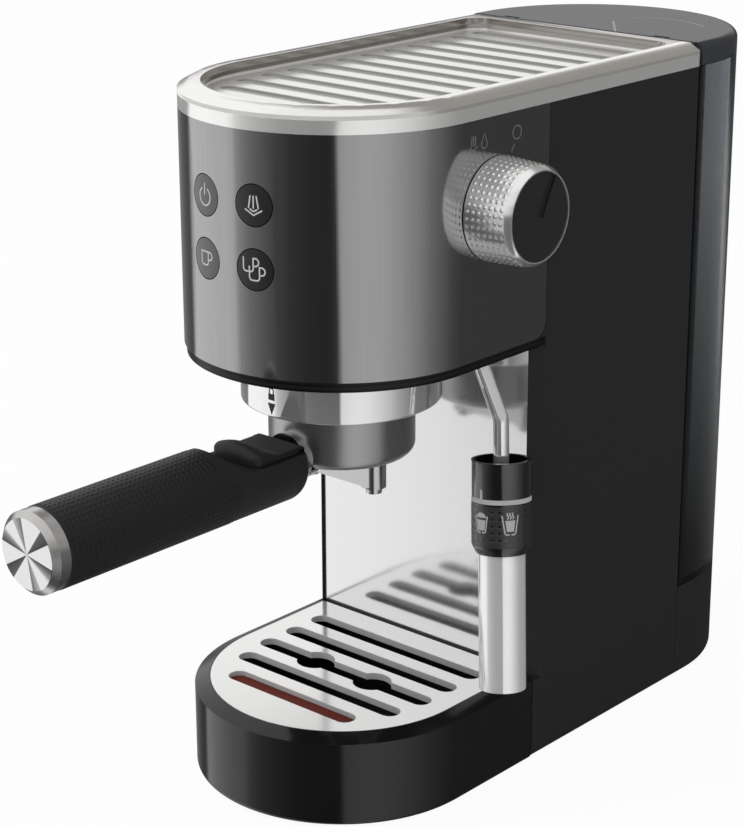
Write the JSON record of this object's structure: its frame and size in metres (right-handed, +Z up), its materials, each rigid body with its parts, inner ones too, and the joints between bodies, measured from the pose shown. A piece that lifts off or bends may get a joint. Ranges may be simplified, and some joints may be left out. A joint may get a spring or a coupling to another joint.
{
  "type": "espresso machine",
  "caption": "Slim pump espresso machine with lever filter holder, steam wand and knob, push buttons, drip tray with grid, cup tray and rear water tank with lid.",
  "frame": {"origin": "middle of the overall footprint, on the surface that the machine stands on", "axes": "+Z up, the front with the filter holder's handle towards -Y, the steam knob and wand towards +X"},
  "size_m": [0.1562, 0.4088, 0.3029],
  "materials": {
    "satin_black": "satin moulded",
    "gloss_black": "gloss moulded",
    "dark_steel": "dark, brushed round",
    "satin_steel": "satin",
    "mirror_steel": "mirror polished",
    "chrome": "polished",
    "grip_black": "matt",
    "pale_grey": "satin",
    "smoked_tank": "clear smoked",
    "smoked_lid": "smoked",
    "float_red": "matt",
    "black_rubber": "matt",
    "cast_alloy": "as cast",
    "brass": "turned",
    "plain_steel": "plain",
    "board_green": "printed board",
    "inner_plastic": "moulded"
  },
  "bodies": {
    "machine": {"base_pan": "satin_black", "feet": "black_rubber", "base_screws": "plain_steel", "inner_frame": "satin_black", "right_side_cover": "satin_black", "left_side_cover": "satin_black", "mirror_panel": "mirror_steel", "tower_back": "satin_black", "rear_housing": "satin_black", "front_band": "dark_steel", "head_underside": "satin_black", "cup_tray": "satin_steel", "button_carrier": "grip_black", "switch_board": "board_green", "group_ring": "chrome", "group_hub": "cast_alloy", "group_gasket": "black_rubber", "shower_screen": "plain_steel", "screen_screw": "plain_steel", "thermoblock": "cast_alloy", "pump": "inner_plastic", "pump_cradle": "black_rubber", "inlet_hose": "black_rubber", "pressure_hose": "inner_plastic", "steam_valve": "brass", "steam_pipe": "plain_steel", "wand_bush": "brass", "control_board": "board_green", "tank_socket": "inner_plastic", "cord_gland": "black_rubber"},
    "steam_knob": {"knob_ring": "satin_steel", "knob_face": "grip_black", "knob_stem": "plain_steel"},
    "power_key": {"power_button": "grip_black"},
    "steam_key": {"steam_button": "grip_black"},
    "one_cup_key": {"one_cup_button": "grip_black"},
    "two_cup_key": {"two_cup_button": "grip_black"},
    "portafilter": {"filter_holder": "chrome", "filter_basket": "plain_steel", "spout": "chrome", "handle_neck": "chrome", "handle_bolt": "plain_steel", "handle_grip": "grip_black", "handle_end_cap": "chrome", "clip_pin": "plain_steel"},
    "clip": {"filter_clip": "grip_black"},
    "steam_wand": {"wand_pipe": "chrome", "wand_collar": "grip_black", "collar_line": "pale_grey", "froth_sleeve": "chrome"},
    "setting_ring": {"froth_ring": "grip_black"},
    "tray": {"drip_tray": "gloss_black"},
    "grid": {"drip_grid": "mirror_steel"},
    "level_float": {"tray_float": "float_red"},
    "tank": {"water_tank": "smoked_tank", "tank_valve": "inner_plastic", "lid_pin": "plain_steel"},
    "lid": {"tank_lid": "smoked_lid"}
  },
  "joints": [
    {"name": "knob_turn", "type": "hinge", "parent": "machine", "child": "steam_knob", "pos_m": [0.06285, -0.0114, 0.2556], "axis": [1, 0, 0], "range_deg": [0, 45]},
    {"name": "power_press", "type": "slide", "parent": "machine", "child": "power_key", "axis": [0.2028, 0.9792, 0], "range_m": [0, 0.0015], "stiffness_N_per_m": 400},
    {"name": "steam_press", "type": "slide", "parent": "machine", "child": "steam_key", "axis": [-0.2028, 0.9792, 0], "range_m": [0, 0.0015], "stiffness_N_per_m": 400},
    {"name": "one_cup_press", "type": "slide", "parent": "machine", "child": "one_cup_key", "axis": [0.2028, 0.9792, 0], "range_m": [0, 0.0015], "stiffness_N_per_m": 400},
    {"name": "two_cup_press", "type": "slide", "parent": "machine", "child": "two_cup_key", "axis": [-0.2028, 0.9792, 0], "range_m": [0, 0.0015], "stiffness_N_per_m": 400},
    {"name": "holder_lock", "type": "hinge", "parent": "machine", "child": "portafilter", "pos_m": [-0.01315, -0.0321, 0.16], "axis": [0, 0, 1], "range_deg": [-45, 0]},
    {"name": "clip_flip", "type": "hinge", "parent": "portafilter", "child": "clip", "pos_m": [-0.01315, -0.0706, 0.1544], "axis": [-1, 0, 0], "range_deg": [0, 38]},
    {"name": "wand_swivel", "type": "hinge", "parent": "machine", "child": "steam_wand", "pos_m": [0.04435, -0.0114, 0.195], "axis": [0, 0, 1], "range_deg": [-35, 35]},
    {"name": "froth_setting", "type": "hinge", "parent": "steam_wand", "child": "setting_ring", "pos_m": [0.05569, -0.0114, 0.168], "axis": [0.1125, -0.1087, -0.9877], "range_deg": [0, 58]},
    {"name": "tray_slide", "type": "slide", "parent": "machine", "child": "tray", "axis": [0, -1, 0], "range_m": [0, 0.12]},
    {"name": "grid_lift", "type": "slide", "parent": "tray", "child": "grid", "axis": [0, 0, 1], "range_m": [0, 0.06]},
    {"name": "float_rise", "type": "slide", "parent": "tray", "child": "level_float", "axis": [0, 0, 1], "range_m": [0, 0.006]},
    {"name": "tank_lift", "type": "slide", "parent": "machine", "child": "tank", "axis": [0, 0, 1], "range_m": [0, 0.12]},
    {"name": "lid_open", "type": "hinge", "parent": "tank", "child": "lid", "pos_m": [-0.01315, 0.1313, 0.301], "axis": [1, 0, 0], "range_deg": [0, 95]}
  ]
}
